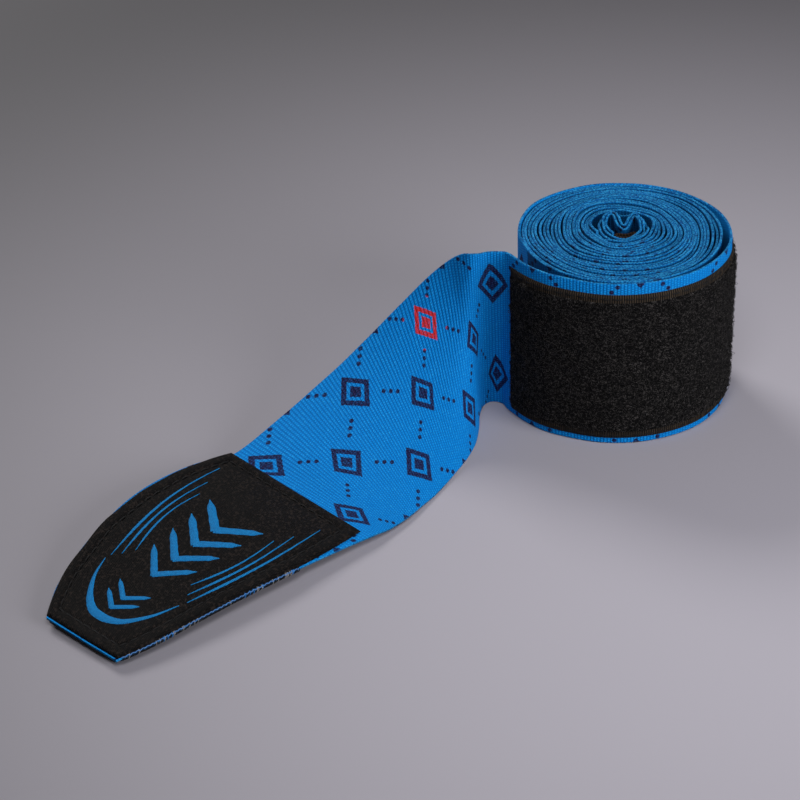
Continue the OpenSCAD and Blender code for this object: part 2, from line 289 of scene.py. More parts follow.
def tape_material():
    """The loop tape's woven backing, with brown yarns standing up along its borders."""
    c = Cloth("tape_weave", 0.85, specular=0.1)
    tick = ((c.s * (TAU / 0.62)).sin() * 0.5 + 0.5).ramp(0.35, 0.8)
    fine = (c.a * (TAU / 0.5)).sin() * 0.5 + 0.5
    grain = c.noise(2.5)
    wide = c.noise(0.12)
    colour = c.mix(tick, (0.004, 0.004, 0.004), (0.048, 0.034, 0.022))
    colour = c.mix(wide.ramp(0.35, 0.65) * 0.7, colour, (0.010, 0.009, 0.009))
    return c.finish(colour, tick * 0.7 + fine * 0.2 + grain * 0.3, 0.18)


def pile_material(name, dark, light):
    """Brushed fibre, dark with paler specks."""
    c = Cloth(name, 0.9, specular=0.1)
    speck = c.noise(1.3, 3.0)
    fine = c.noise(3.0)
    colour = c.mix((speck * 0.45 + fine * 0.6).ramp(0.52, 0.70), dark, light)
    return c.finish(colour, speck + fine * 0.6, 0.5)


def label_material():
    """Black damask: a fine twill, slightly lustrous."""
    c = Cloth("woven_black", 0.75, specular=0.06)
    warp, weft = c.s * (TAU / 0.42), c.a * (TAU / 0.5)
    twill = ((warp + weft * 0.5).sin() * 0.5 + 0.5) * ((weft - warp * 0.25).sin() * 0.35 + 0.65)
    grain = c.noise(1.3, 3.0)
    cloud = c.noise(0.09)
    colour = c.mix(twill.ramp(0.25, 0.95), (0.0008, 0.0007, 0.0008), (0.0125, 0.011, 0.0108))
    colour = c.mix(grain.ramp(0.50, 0.66) * 0.5, colour, (0.030, 0.0225, 0.019))
    colour = c.mix(cloud.ramp(0.45, 0.7) * 0.3, colour, (0.007, 0.0065, 0.0065))
    return c.finish(colour, twill + grain * 0.5, 0.14, grain * 0.16 + 0.6)


def yarn_material(name, dark, light, roughness):
    """Plied thread, or moulded plastic, in two shades."""
    c = Cloth(name, roughness, specular=0.16)
    ply = ((c.s * (TAU / 0.45) + c.a * 2.0).sin() * 0.5 + 0.5) * 0.6 + c.noise(2.0) * 0.4
    return c.finish(c.mix(ply.ramp(0.2, 0.85), dark, light), ply, 0.08)


def artwork_material():
    """The blue yarns of the label's bands."""
    c = Cloth("label_blue", 0.66, specular=0.1)
    weft = (c.a * (TAU / 0.36) + c.s * 1.1).sin() * 0.5 + 0.5
    warp = (c.s * (TAU / 0.40)).sin() * 0.5 + 0.5
    grain = c.noise(1.8)
    colour = c.mix((weft * 0.5 + grain * 0.6).ramp(0.2, 0.9), (0.0012, 0.085, 0.25), (0.003, 0.19, 0.46))
    colour = c.mix(grain.ramp(0.7, 0.8) * 0.5, colour, (0.004, 0.03, 0.09))
    return c.finish(colour, weft * 0.6 + warp * 0.4 + grain * 0.4, 0.09)


def overlock_material():
    """Threads in three colours, told apart by the third cloth coordinate."""
    c = Cloth("overlock_yarns", 0.6, specular=0.2)
    ply = (c.s * (TAU / 0.35)).sin() * 0.5 + 0.5
    colour = c.mix(c.face.ramp(0.2, 0.3), (0.004, 0.004, 0.005), (0.012, 0.20, 0.60))
    colour = c.mix(c.face.ramp(0.7, 0.8), colour, (0.32, 0.30, 0.285))
    colour = c.mix(ply * 0.35, colour, (0.02, 0.02, 0.025))
    return c.finish(colour, ply, 0.06)


def thumb_material():
    c = Cloth("brown_tape", 0.85, specular=0.1)
    rib = ((c.s * (TAU / 0.8)).sin() * 0.5 + 0.5) * 0.7 + c.noise(2.4) * 0.4
    return c.finish(c.mix(rib.ramp(0.2, 0.9), (0.006, 0.004, 0.003), (0.032, 0.017, 0.010)), rib, 0.15)


def floor_material():
    """A pale floor with a painted pool of light: its colour darkens with the distance from a place in front
    of the roll.
    """
    c = Cloth("floor_painted_light_pool", 0.7, specular=0.25)
    x, y = c.s + 0.01, c.a + 0.07
    # painted light: lightest at the pool's centre and darker away from it, standing in for the lamps'
    # fall-off
    distance_from_light_pool = (x * x + y * y).do("SQRT") + c.noise(1.6) * 0.03
    colour = c.mix(distance_from_light_pool.ramp(0.05, 0.42), (0.335, 0.318, 0.356), (0.075, 0.072, 0.078))
    c.tree.links.new(colour, c.shader.inputs["Base Color"])
    return c.material


# -------- shapes
def spline(knots, steps):
    """A smooth curve through every knot."""
    p = np.array(knots, float)
    last, f, parts = len(p) - 1, np.arange(steps)[:, None] / steps, []
    for i in range(last):
        a, b, c, d = p[max(i - 1, 0)], p[i], p[i + 1], p[min(i + 2, last)]
        parts.append(
            (2 * b + (c - a) * f + (2 * a - 5 * b + 4 * c - d) * f**2 + (3 * b - a - 3 * c + d) * f**3) / 2
        )
    return np.concatenate([*parts, p[-1:]])


def along(points):
    """Distance along a line of points, from its first."""
    return np.concatenate([[0], np.cumsum(np.linalg.norm(np.diff(points, axis=0), axis=1))])


def at(where, places, values):
    """Values read off at places, for arrays of points."""
    return np.stack([np.interp(where, places, values[:, k]) for k in range(values.shape[1])], axis=1)


def wander(x, spacing, size, seed):
    """A smooth random line: about size high, with a new value every spacing."""
    knots = np.random.default_rng(seed).uniform(-1, 1, int(np.max(x) / spacing) + 6)
    t = np.maximum(np.asarray(x, float) / spacing, 0) + 1
    i = t.astype(int)
    f = t - i
    f = f * f * (3 - 2 * f)
    return size * (knots[i] * (1 - f) + knots[i + 1] * f)


def unit(v):
    return v / np.maximum(np.linalg.norm(v, axis=-1, keepdims=True), 1e-12)


def left_of(way):
    """Directions square to headings over the floor, on their left."""
    return np.stack([-way[:, 1], way[:, 0]], axis=1)


def smoothstep(x):
    x = np.clip(x, 0, 1)
    return x * x * (3 - 2 * x)


def mesh_piece(name, points, faces, cloth, material, normals=None, printed=None):
    """A piece from points in mm, rows of point numbers as faces, and its cloth coordinates."""
    data = bpy.data.meshes.new(name)
    flat, sizes = np.concatenate(list(faces)), np.array([len(f) for f in faces])
    data.vertices.add(len(points))
    data.vertices.foreach_set("co", (np.asarray(points) * MM).astype(np.float32).ravel())
    data.loops.add(len(flat))
    data.loops.foreach_set("vertex_index", flat.astype(np.int32))
    data.polygons.add(len(sizes))
    starts = np.concatenate([[0], np.cumsum(sizes)[:-1]])
    data.polygons.foreach_set("loop_start", starts.astype(np.int32))
    data.update(calc_edges=True)
    data.validate()
    for key, values in (("cloth", cloth), ("print", printed)):
        if values is not None:
            where = data.attributes.new(key, "FLOAT_VECTOR", "POINT")
            where.data.foreach_set("vector", np.asarray(values, np.float32).ravel())
    data.materials.append(material)
    data.shade_smooth()
    if normals is None:
        data.set_sharp_from_angle(angle=math.radians(60))
    else:
        data.normals_split_custom_set_from_vertices(np.asarray(normals, float))
    piece = bpy.data.objects.new(name, data)
    scene.collection.objects.link(piece)
    return piece


def ring_faces(rings, sides):
    """Quads of a closed tube of rings, and its two end caps."""
    i, k = np.meshgrid(np.arange(rings - 1), np.arange(sides), indexing="ij")
    a, b = i * sides + k, i * sides + (k + 1) % sides
    quads = np.stack([a, b, b + sides, a + sides], axis=-1).reshape(-1, 4)
    ends = [np.arange(sides)[::-1], (rings - 1) * sides + np.arange(sides)]
    return list(quads) + ends


def section(width, across_step, half):
    """Points round a strip's cross-section: (distance across, height off the middle, face)."""
    edge = [(0.0, 0.0, 0.0), (0.05, 0.6, 0.45), (0.16, 0.88, 0.8), (0.42, 1.0, 1.0)]
    inner = np.arange(edge[-1][0] + across_step, width - edge[-1][0] - across_step * 0.4, across_step)
    top = edge + [(a, 1.0, 1.0) for a in inner] + [(width - a, h, f) for a, h, f in edge[::-1]]
    bottom = [(a, -h, -f) for a, h, f in top[-2:0:-1]]
    found = np.array(top + bottom)
    found[:, 1] *= half
    return found


def strip_points(low, high, s, width, profile):
    """The webbing between two edge lines: its points and cloth coordinates, ring by ring."""
    w = profile[:, 0] / width
    up = high - low
    middle = low[:, None] + up[:, None] * w[None, :, None]
    heading = np.gradient(middle, axis=0)
    out = unit(np.cross(np.broadcast_to(up[:, None], middle.shape), heading))
    across, level, face = profile.T
    ribs = np.sign(level) * web_relief(s[:, None], across) * (np.abs(face) > 0.9)
    rise = level + ribs + web_bow(s[:, None], w[None, :])
    sideways = web_wobble(s)[:, None] * (1 - np.abs(face)) * np.where(w < 0.5, -1.0, 1.0)
    points = middle + out * rise[..., None] + unit(up)[:, None] * sideways[..., None]
    cloth = np.broadcast_arrays(s[:, None], across, face)
    return points, np.stack(cloth, axis=-1)


def grid_normals(points):
    """Normals of a closed tube of rings, so that two pieces of one strip shade as one."""
    lengthways = np.gradient(points, axis=0)
    around = np.roll(points, -1, axis=1) - np.roll(points, 1, axis=1)
    return unit(np.cross(around, lengthways))


def thread_piece(name, lines, radius, sides, material, tags=None):
    """Many round threads in one piece; a tag is the third cloth coordinate of its thread."""
    all_points, all_faces, all_cloth, start = [], [], [], 0
    circle = np.linspace(0, TAU, sides, endpoint=False)
    for n, line in enumerate(lines):
        line = np.asarray(line, float)
        way = unit(np.gradient(line, axis=0))
        guide = np.array([0.3, 0.2, 1.0]) if abs(way[0][2]) < 0.8 else np.array([1.0, 0.3, 0.1])
        side = unit(np.cross(way, guide))
        other = np.cross(way, side)
        out = side[:, None] * np.cos(circle)[:, None] + other[:, None] * np.sin(circle)[:, None]
        ring = line[:, None] + out * radius
        all_points.append(ring.reshape(-1, 3))
        all_faces += [np.asarray(f) + start for f in ring_faces(len(line), sides)]
        tag = tags[n] if tags else 0.0
        length = np.repeat(along(line) + 3.7 * n, sides)
        all_cloth.append(np.column_stack([length, np.tile(circle, len(line)), np.full(len(length), tag)]))
        start += len(line) * sides
    return mesh_piece(name, np.concatenate(all_points), all_faces, np.concatenate(all_cloth), material)


# -------- sizes shared with the CAD source
WIDTH, THICK = 50.0, 0.82
PITCH, TURNS, CORE = 0.9, 21, 7.2
LEAVE = 150.0  # degrees round from +x to the line where the loose end leaves the roll
COIL_END = CORE + TURNS * PITCH + THICK / 2
STAND_OFF = [  # how far the last turn stands off the coil: (degrees travelled clockwise, mm)
    (0, 0.9), (20, 1.7), (42, 2.3), (62, 2.4), (90, 1.7), (120, 1.2), (150, 1.4), (180, 2.1),
    (210, 2.3), (240, 1.5), (270, 0.9), (300, 1.5), (328, 3.2), (345, 4.9), (360, 6.5),
]
TAIL_LOW = [  # the loose end's lower edge, on the surface: (x, y)
    (-28.6, 16.5), (-27.2, 20.2), (-28.8, 23.2), (-32.4, 23.4), (-37, 20.8), (-42, 16.8),
    (-48.2, 12.8), (-54.6, 10), (-62.2, 7.6), (-71.2, 5.6), (-80.6, 4.2), (-89.6, 3.4), (-97.6, 4),
]
TAIL_HIGH = [  # its upper edge: (x, y, z)
    (-28.6, 16.5, 50), (-29.6, 19.2, 50), (-31.6, 21.6, 50), (-33.6, 22.8, 50), (-35.2, 24.4, 50),
    (-35.4, 27.4, 48.8), (-35.6, 32, 45.2), (-38, 37, 39.6), (-43.8, 42.2, 31.6), (-53.6, 46.6, 23.2),
    (-66, 49.8, 16.2), (-80, 52, 10.4), (-97.6, 53.8, 5.85),
]
TAB_BACK, TAB_LENGTH = -98.2, 77.0
TAB = np.array([  # distance from the tab's back, near edge, far edge, far edge's lift
    (0, 4, 53.8, 4), (13, 6.2, 57, 5.6), (27, 8.2, 58.4, 6.2), (40, 10.2, 57.6, 5.4),
    (54, 12.4, 54.6, 3.4), (67, 14.6, 49.8, 1.4), (77, 17.4, 43, 0.2),
])
TAB_FINE = spline(TAB, 24)
NEAR_LIFT = 1.7
HOOK, BACKING, PILE = 0.9, 0.5, 1.0
WEB_LEVEL = HOOK + BACKING + 0.04
LABEL_LEVEL = WEB_LEVEL + THICK + 0.02
LABEL_THICK = 0.52
LOOP_LENGTH, LOOP_WIDTH, LOOP_LOW = 112.0, 45.0, 1.8
LOOP_HIGH = LOOP_LOW + LOOP_WIDTH
BORDER = 2.2  # of the loop tape, bare of pile
PILE_LOW, PILE_HIGH = LOOP_LOW + BORDER, LOOP_HIGH - BORDER
LABEL_U0, LABEL_U1 = 1.5, TAB_LENGTH - 0.35
SEAM_IN = 3.3  # from the label's edge to its seam
EDGE_SLANT = 0.93  # the distance to a slanting edge, as a share of the distance straight across
OVERLOCK_START = 24.0  # from the tab's back
THUMB_WIDTH, THUMB_FLAT, THUMB_TOP = 10.0, 15.0, 48.6
CORE_BACK = 0.8  # how far behind the coil's centre the opening in the core lies
RIGHT, AWAY = np.array([0.683, -0.730]), np.array([0.730, 0.683])  # as the roll is seen from the front
PIECES_MEET_X = -86.0  # where the last turn's piece ends and the loose end's begins


def tab_edges(u):
    """Near edge, far edge and far lift at a distance from the tab's back."""
    return at(np.clip(u, 0, TAB_LENGTH), TAB_FINE[:, 0], TAB_FINE[:, 1:])


def tab_bow(u, w):
    """The tab's slight waves, the same in all its layers."""
    u = np.asarray(u, float)
    return (0.35 * np.sin(u / 17.0 + 0.6) + 0.15) * np.sin(np.pi * np.clip(w, 0, 1)) * smoothstep(u / 14)


def on_tab(u, y, height):
    """Points over the tab: u from its back edge, y across, height above its underside."""
    u, y, height = np.broadcast_arrays(np.asarray(u, float), y, height)
    edges = tab_edges(u.ravel()).reshape(*u.shape, 3)
    w = (y - edges[..., 0]) / (edges[..., 1] - edges[..., 0])
    near = NEAR_LIFT * np.sin(np.pi * np.clip(u / TAB_LENGTH, 0, 1))
    z = height + near * (1 - w) + edges[..., 2] * w + tab_bow(u, w)
    return np.stack([TAB_BACK - u, y, z], axis=-1)


# -------- the webbing
STEP = RIB_PITCH / 4


def outer_edges():
    """The webbing's lower and upper edges from the last turn to the tab's tip."""
    travelled, off = np.array(STAND_OFF).T
    angle = np.radians(LEAVE - travelled)
    turn = np.stack([np.cos(angle), np.sin(angle)], axis=1) * (COIL_END + off)[:, None]
    lowest = WEB_LEVEL + THICK / 2
    low = [(x, y, 0.0) for x, y in turn]
    high = [(x, y, WIDTH) for x, y in turn]
    last = len(TAIL_LOW) - 1
    for k in range(1, last + 1):
        lean = math.dist(TAIL_LOW[k], TAIL_HIGH[k][:2]) / WIDTH
        rise = max(0.0, (k - last + 2) / 2) ** 2
        low.append((*TAIL_LOW[k], THICK / 2 * lean + WEB_LEVEL * rise))
        high.append(TAIL_HIGH[k])
    for u in (6.5, 13, 20, 27, 33.5, 40, 47, 54, 60.5, 67, 72, 77):
        near, far, lift = tab_edges(np.array([u]))[0]
        low.append((TAB_BACK - u, near, lowest + NEAR_LIFT * math.sin(math.pi * u / TAB_LENGTH)))
        high.append((TAB_BACK - u, far, lowest + lift))
    fine = 40  # points from one knot to the next
    low, high = spline(low, fine), spline(high, fine)
    s = along((low + high) / 2)
    leave_at = s[(len(turn) - 1) * fine]
    tab_at = s[(len(turn) - 1 + last) * fine]
    count = int(s[-1] / STEP)
    where = np.linspace(0, s[-1], count + 1)
    return at(where, s, low), at(where, s, high), where, leave_at, tab_at


low_edge, high_edge, web_s, leave_s, tab_s = outer_edges()


def web_relief(s, a):
    """Ribs across the webbing, a little uneven."""
    rib = np.abs(np.sin(np.pi * (s + 0.12 * np.sin(a / 6.0 + s / 9.0)) / RIB_PITCH)) ** 0.8
    return 0.055 * (rib - 0.6)


def web_bow(s, w):
    """Slow waves over the loose end; the tab's layers follow the same ones."""
    loose = smoothstep((s - leave_s - 6) / 26)
    calm = 1 - smoothstep((s - tab_s + 12) / 12)
    wave = 0.55 * np.sin(s / 13.0 + 1.5 * w) * np.sin(np.pi * w) + 0.25 * np.sin(s / 6.1 + 5 * w)
    return wave * loose * calm + tab_bow(np.maximum(s - tab_s, 0), w)


def web_wobble(s):
    """How far the selvedges stand out at each rib, and wander."""
    return 0.09 * np.abs(np.sin(np.pi * s / RIB_PITCH)) + wander(s, 7.0, 0.16, 3)


# How much fuller the coil is under the last turn: (degrees travelled clockwise, mm)
FULLER = [
    (0, 0.9), (10, 1.15), (20, 1.4), (30, 1.65), (42, 1.9), (52, 2.0), (62, 2.0), (75, 1.8), (90, 1.4),
    (120, 0.95), (150, 0.6), (180, 0.2), (210, 0), (240, 0.15), (270, 0.05), (300, 0.4), (328, 0.7),
    (345, 0.8), (360, 0.9),
]


def coil_line():
    """The coil's centre line: uneven gaps, a core that sits off centre and slow waves."""
    t = np.linspace(0, TURNS, 30000)
    gaps = [(0.9, 0.15), (3.6, 0.7), (6.4, 0.35), (9.4, 0.55), (12.3, 0.35), (15.2, 0.6), (18.2, 0.45)]
    pitch = np.full_like(t, PITCH)
    for turn, gap in gaps:
        pitch += gap * np.exp(-(((t - turn) / 0.55) ** 2))
    pitch -= np.mean(pitch) - PITCH
    radius = CORE + THICK / 2 + np.concatenate([[0], np.cumsum((pitch[1:] + pitch[:-1]) / 2 * np.diff(t))])
    angle = np.radians(LEAVE) - TAU * t
    calm = smoothstep((TURNS - t) / 3.0)
    waves = 0.34 * np.sin(3 * angle + 0.33 * radius) + 0.2 * np.sin(5 * angle - 0.45 * radius + 1)
    radius += calm * (waves + 0.24 * np.sin(2 * angle + 0.2 * radius + 2))
    # the roll is fuller on the side where the last turn stands off it
    turned, fuller = np.array(FULLER).T
    radius += np.interp((t % 1) * 360, turned, fuller) * (radius / COIL_END) ** 1.3
    # the core is longer towards the back, and lies off centre
    back = np.maximum(np.cos(angle - math.atan2(*AWAY[::-1])), 0) ** 1.5
    radius *= 1 + 0.22 * back * (1 - t / TURNS) ** 2
    shift = (1 - t / TURNS) ** 1.25
    x = radius * np.cos(angle) + 2.5 * shift
    y = radius * np.sin(angle) + 2.2 * shift
    line = np.stack([x, y], axis=1)
    s = along(line)
    where = np.arange(0, s[-1], 0.39)
    return at(where, s, line), np.interp(where, s, t), where


coil_xy, coil_turn, coil_s = coil_line()
webbing = webbing_material()
profile = section(WIDTH, 1.9, (THICK - 0.06) / 2)
web_points, web_cloth = strip_points(low_edge, high_edge, web_s, WIDTH, profile)
web_points[..., 2] = np.maximum(web_points[..., 2], 0.02)
web_normals = grid_normals(web_points)
coil_length = coil_s[-1]  # the cloth coordinates run on from the coil
PRINT_START = 5.1  # from the leave line to the middle of a row of marks


def print_place(s, a):
    """Where a point of the outer webbing lies in the printed pattern, from the leave line.

    The pattern is closed up where the webbing turns sharply by the roll.
    """
    s = s - leave_s
    skew = np.interp(s, [0, 5, 13, 23, 34, 48, 63, 77], [0, 0.02, 0.2, 0.31, 0.26, 0.2, 0.1, 0.05])
    s = s - skew * (a - 25)
    place, pattern = np.array([
        (-7, -12), (PRINT_START, 0), (9, 6), (13.5, 15), (23.2, 30), (34, 45), (47.9, 60), (64, 75),
        (77.5, 90),
    ]).T
    return np.interp(s, place, pattern) + s - np.clip(s, place[0], place[-1])


web_a = web_cloth[..., 1]
web_print = np.stack([print_place(web_cloth[..., 0], web_a), web_a, 0 * web_a], axis=-1)
web_cloth[..., 0] += coil_length


def web_piece(name, first, last):
    """One piece of the webbing's outer part, between two of its rings."""
    grids = (web_points, web_cloth, web_normals, web_print)
    points, cloth, normals, printed = (grid[first : last + 1].reshape(-1, 3) for grid in grids)
    faces = ring_faces(last - first + 1, len(profile))
    return mesh_piece(name, points, faces, cloth, webbing, normals, printed)


split_ring = int(np.argmin(np.abs(low_edge[:, 0] - PIECES_MEET_X)))
turn_and_tail = web_piece("webbing_last_turn", 0, split_ring)
tail_and_tab = web_piece("webbing_loose_end", split_ring, len(web_s) - 1)


def upright_strip(name, line, s, low_z, high_z, half, material, rows, s_offset=0.0):
    """A strip standing on edge along a line, its selvedges rounded, with rows at shares of its height."""
    left = left_of(unit(np.gradient(line, axis=0))) * np.reshape(half, (-1, 1))
    round_top = [(1.0, -0.34, 1.0), (0.88, -0.1, 0.6), (0.5, 0.0, 0.3), (0.0, 0.03, 0.0)]
    top = round_top + [(-o, z, -f) for o, z, f in round_top[-2::-1]]
    rings = [(o, high_z + z, f) for o, z, f in top]
    rings += [(-1.0, low_z + (high_z - low_z) * share, -1.0) for share in rows]
    rings += [(o, low_z - z, f) for o, z, f in top[::-1]]
    rings += [(1.0, low_z + (high_z - low_z) * share, 1.0) for share in rows[::-1]]
    points, cloth = [], []
    for o, z, f in rings:
        points.append(np.column_stack([line + left * o, z]))
        cloth.append(np.column_stack([s + s_offset, np.clip(z, 0, WIDTH), np.full(len(s), f)]))
    points, cloth = np.stack(points, axis=1), np.stack(cloth, axis=1).reshape(-1, 3)
    # the third print coordinate is 1 on strips standing in the roll, where the webbing paints shade in the
    # gaps
    printed = cloth * [1, 1, 0] + [-coil_length - leave_s - PRINT_START, 0, 1]
    faces = ring_faces(len(s), len(rings))
    return mesh_piece(name, points.reshape(-1, 3), faces, cloth, material, None, printed)


pick = 0.07 * np.sin(TAU * coil_s / RIB_PITCH) + wander(coil_s, 1.3, 0.05, 5)
coil_top = WIDTH - 0.4 + wander(coil_turn, 0.43, 0.27, 11) + wander(coil_turn, 1.3, 0.42, 12) + pick
coil_low = 0.25 + wander(coil_turn, 0.37, 0.2, 13) + pick
coil = upright_strip(
    "webbing_coil_turns", coil_xy, coil_s, coil_low, coil_top,
    0.388 + wander(coil_s, 1.4, 0.022, 15), webbing, [0.94],
)

# The crumpled inner end: three times round inside the coil, twice with a fold hanging in from the back.
# Knots are (to the right, away) as the opening is seen from the front.
CORE_KNOTS = [
    (-7.1, 0.9), (-5.7, -2.0), (-3.1, -3.9), (0.3, -4.5), (3.7, -3.6), (6.0, -1.2), (6.9, 2.3),
    (6.3, 5.9), (4.3, 8.5), (1.2, 9.7), (-2.0, 9.6), (-4.4, 8.4), (-6.0, 5.5), (-6.2, 2.2),
    (-5.1, -0.8), (-2.9, -2.9), (0.3, -3.5), (3.2, -2.7), (5.1, -0.6), (5.9, 2.4), (5.5, 5.2),
    (4.4, 7.3), (3.3, 7.5), (2.3, 5.8), (1.3, 3.9), (0.4, 3.1), (-0.5, 4.1), (-0.9, 6.2),
    (-1.3, 7.9), (-2.3, 8.5), (-3.5, 7.7), (-4.8, 5.7), (-5.2, 3.0), (-4.3, 0.5), (-2.9, -1.3),
    (-1.4, -2.3), (0.4, -2.6), (2.6, -1.9), (4.2, 0.0), (4.9, 2.4), (4.7, 4.6), (4.0, 6.2), (3.3, 5.9),
    (2.5, 4.4), (1.5, 3.0), (0.3, 2.2), (-1.1, 3.4), (-1.8, 5.6), (-2.5, 7.3), (-3.4, 6.7),
    (-4.1, 5.0), (-4.3, 3.0), (-3.6, 1.1), (-2.7, -0.1),
]


def core_fold():
    """The crumpled inner end as a piece, and its length."""
    pq = spline(CORE_KNOTS, 40)
    pq[:, 1] += CORE_BACK + 0.12 * np.maximum(pq[:, 1] - 2, 0)
    line = pq[:, :1] * RIGHT + pq[:, 1:] * AWAY
    s = along(line)
    where = np.arange(0, s[-1], 0.3)
    line = at(where, s, line)
    line = line + left_of(unit(np.gradient(line, axis=0))) * wander(where, 2.2, 0.16, 21)[:, None]
    pushed_up = 1.5 * smoothstep((where - 40) / 12) * smoothstep((at(where, s, pq)[:, 1] - 1.5) / 5)
    top = WIDTH - 0.8 + wander(where, 3.2, 0.55, 22) + pushed_up + 0.08 * np.sin(TAU * where / RIB_PITCH)
    low = 0.5 + wander(where, 5.0, 0.3, 23)
    rows = [0.97, 0.9, 0.6, 0.3]
    return upright_strip("webbing_inner_fold", line, where, low, top, 0.37, webbing, rows, -s[-1]), s[-1]


inner_fold, fold_length = core_fold()

# -------- loop tape on the last turn
tape_hi_s = leave_s - 1.6
tape_lo_s = tape_hi_s - LOOP_LENGTH


def on_turn(s, z, out):
    """Points on the last turn's outer face: distance along, height, and how far off it."""
    s, z, out = np.broadcast_arrays(np.asarray(s, float), z, out)
    middle = at(s.ravel(), web_s, low_edge)[:, :2]
    ahead = at(s.ravel() + 0.3, web_s, low_edge)[:, :2] - at(s.ravel() - 0.3, web_s, low_edge)[:, :2]
    xy = middle + left_of(unit(ahead)) * (THICK / 2 + out.ravel())[:, None]
    return np.column_stack([xy, z.ravel()]).reshape(*s.shape, 3)


def turn_slab(name, s0, s1, z0, z1, inner, thickness, material, step, across, relief):
    """A closed slab lying on the last turn, rounded at its edges and raised by a relief."""
    s = np.linspace(s0, s1, int((s1 - s0) / step) + 1)
    z = np.linspace(z0, z1, int((z1 - z0) / across) + 1)
    ss, zz = np.meshgrid(s, z, indexing="ij")
    edge = np.minimum(np.minimum(ss - s0, s1 - ss), np.minimum(zz - z0, z1 - zz))
    inside = np.clip(edge / thickness, 0, 1)
    rounded = np.sqrt(1 - (1 - inside) ** 2)
    out = inner + thickness * (0.12 + 0.88 * rounded) + relief(ss, zz) * inside
    return slab_piece(name, on_turn(ss, zz, out), on_turn(ss, zz, inner), ss, zz, material)


def slab_piece(name, top, back, ss, aa, material):
    """A closed piece between two grids of points that share their rims' columns."""
    rows, cols = ss.shape
    i, k = np.meshgrid(np.arange(rows - 1), np.arange(cols - 1), indexing="ij")
    a = (i * cols + k).ravel()
    faces = np.stack([a, a + 1, a + cols + 1, a + cols], axis=1)
    under = faces[:, ::-1] + rows * cols
    rim = np.concatenate([
        np.arange(cols), np.arange(1, rows) * cols + cols - 1,
        (rows - 1) * cols + np.arange(cols - 2, -1, -1), np.arange(rows - 2, 0, -1) * cols,
    ])
    nxt = np.roll(rim, -1)
    wall = np.stack([nxt, rim, rim + rows * cols, nxt + rows * cols], axis=1)
    points = np.concatenate([top.reshape(-1, 3), back.reshape(-1, 3)])
    cloth = np.stack([ss, aa, np.ones_like(ss)], axis=-1).reshape(-1, 3)
    cloth = np.concatenate([cloth, cloth * [1, 1, -1]])
    return mesh_piece(name, points, np.concatenate([faces, under, wall]), cloth, material)


def ticks(ss, zz):
    """The standing yarns along the tape's borders."""
    return 0.07 * np.sin(TAU * ss / 0.9) * ((zz < PILE_LOW) | (zz > PILE_HIGH))


tape_weave = tape_material()
loop_tape = turn_slab(
    "loop_tape_backing", tape_lo_s, tape_hi_s, LOOP_LOW, LOOP_HIGH,
    0.05, BACKING, tape_weave, 0.24, 0.75, ticks,
)


def tufts(ss, zz):
    """Clumps in the pile."""
    small = wander(ss + 0.7 * zz, 1.1, 0.10, 31) + wander(zz - 0.4 * ss + 60, 1.0, 0.10, 32)
    return small + wander(ss * 0.6 + zz * 1.3, 2.7, 0.12, 33)


black_pile = pile_material("black_pile", (0.0012, 0.0011, 0.0012), (0.055, 0.050, 0.048))
pile = turn_slab(
    "loop_pile_ground", tape_lo_s + 0.4, tape_hi_s - 0.3, PILE_LOW, PILE_HIGH,
    BACKING * 0.8, PILE * 0.62, black_pile, 0.4, 0.4, tufts,
)


def pile_fibres():
    """Small loops of fibre all over the pile, with a few pulled out long."""
    count = 5600
    s = rng.uniform(tape_lo_s + 0.5, tape_hi_s - 0.6, count)
    z = rng.uniform(PILE_LOW + 0.1, PILE_HIGH - 0.1, count)
    turn = rng.uniform(0, TAU, count)
    reach = rng.uniform(0.35, 0.95, count)
    height = rng.uniform(0.25, 0.85, count)
    stray = rng.random(count) < 0.02
    height[stray] *= 1.7
    share = np.array([-1.0, -0.55, 0.0, 0.55, 1.0])
    arc = np.array([0.0, 0.75, 1.0, 0.72, 0.0])
    lean = rng.uniform(-0.3, 0.3, (count, 2))
    ss = s[:, None] + np.cos(turn)[:, None] * reach[:, None] * share + lean[:, :1] * arc
    zz = z[:, None] + np.sin(turn)[:, None] * reach[:, None] * share + lean[:, 1:] * arc
    zz = np.clip(zz, LOOP_LOW + 1.0, LOOP_HIGH - 1.0)
    ss = np.clip(ss, tape_lo_s + 0.1, tape_hi_s - 0.1)
    out = BACKING + PILE * 0.35 + height[:, None] * arc
    return on_turn(ss, zz, out)


grey_fibre = pile_material("pile_fibre", (0.0016, 0.0015, 0.0015), (0.26, 0.24, 0.235))
fibres = thread_piece("loop_pile_fibres", pile_fibres(), 0.06, 3, grey_fibre)


def machine_stitches(path, out_of, length, pitch, radius, first=0.0):
    """Stitches along a line: each rises out of the cloth, the way out_of says, and dives back in."""
    s = along(path)
    share = np.linspace(0, 1, 7)
    lift = radius * 1.5 * (np.sin(np.pi * share) ** 0.5 - 0.55)
    lines = []
    for k in range(int((s[-1] - first) / pitch)):
        line = at(first + k * pitch + share * length, s, path)
        lines.append(line + out_of(line) * lift[:, None])
    return lines


dark_thread = yarn_material("dark_thread", (0.0015, 0.0015, 0.0017), (0.010, 0.0095, 0.010), 0.7)


def tape_seams():
    """A row of stitches along each border of the loop tape."""
    lines = []
    for z in (LOOP_LOW + BORDER / 2, LOOP_HIGH - BORDER / 2):
        s = np.arange(tape_lo_s + 1.2, tape_hi_s - 0.8, 0.4)
        path = on_turn(s, z, BACKING + 0.1)
        lines += machine_stitches(path, lambda line: unit(line * [1, 1, 0]), 2.2, 3.2, 0.17)
    return lines


tape_seam = thread_piece("loop_tape_seams", tape_seams(), 0.17, 6, dark_thread)


